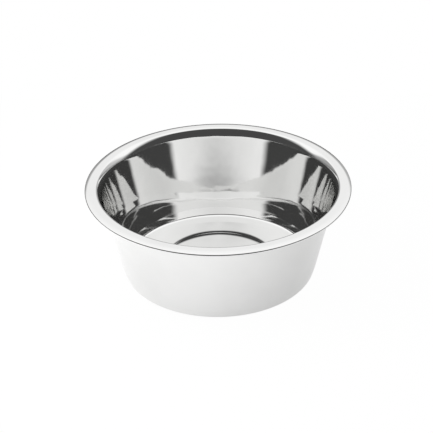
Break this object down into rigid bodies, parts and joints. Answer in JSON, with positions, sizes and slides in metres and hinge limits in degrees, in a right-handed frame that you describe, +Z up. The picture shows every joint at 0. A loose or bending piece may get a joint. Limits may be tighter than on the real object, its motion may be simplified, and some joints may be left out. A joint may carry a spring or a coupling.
{
  "type": "dog bowl",
  "caption": "Round stainless steel feeding bowl with a straight tapered wall, a level flange with a drooping hemmed lip and a bonded anti-slip ring under its flat base.",
  "frame": {"origin": "centre of the footprint, on the surface that the bowl stands on", "axes": "+Z up along the bowl's axis; X and Y are alike, because the bowl is round"},
  "size_m": [0.21, 0.21, 0.0782],
  "materials": {
    "polished_steel": "mirror polished stainless steel",
    "ring_rubber": "matt moulded rubber"
  },
  "bodies": {
    "root": {"bowl_shell": "polished_steel", "anti_slip_ring": "ring_rubber"}
  },
  "joints": []
}
